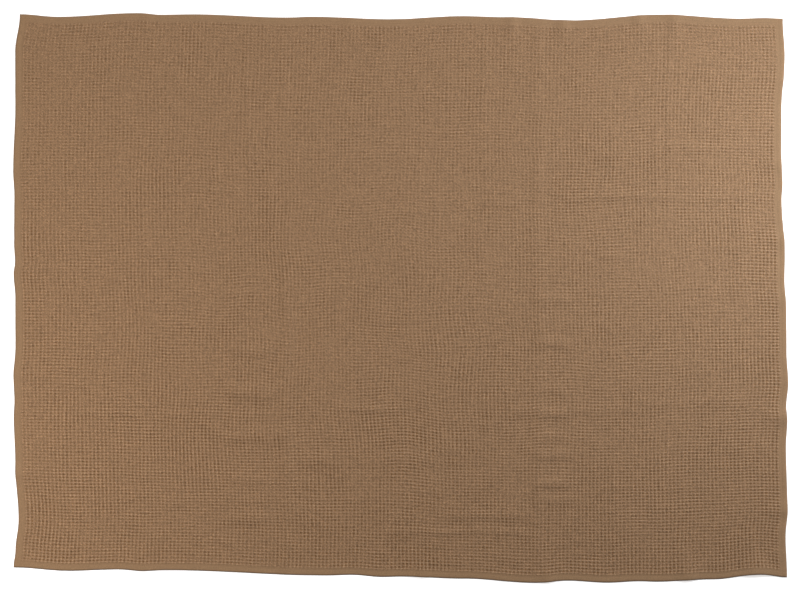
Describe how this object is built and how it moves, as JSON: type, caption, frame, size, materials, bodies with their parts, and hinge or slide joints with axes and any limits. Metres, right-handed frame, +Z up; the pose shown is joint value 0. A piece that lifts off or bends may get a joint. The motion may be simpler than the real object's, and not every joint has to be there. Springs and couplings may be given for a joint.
{
  "type": "waffle weave cotton blanket",
  "caption": "Oblong tan waffle weave cotton blanket with plain turned hems, spread out flat with soft packing folds and rippled edges.",
  "frame": {"origin": "on the surface that the blanket lies on, under the middle of its bounding box", "axes": "+Z up out of the surface; X along the long side and Y along the short side, with the folded-out blanket's face up"},
  "size_m": [1.8124, 1.3323, 0.0096],
  "materials": {
    "waffle_cotton": "matt tan waffle weave cotton, ribs a little lighter than the pits between them, plain woven hems"
  },
  "bodies": {
    "root": {"blanket": "waffle_cotton"}
  },
  "joints": []
}
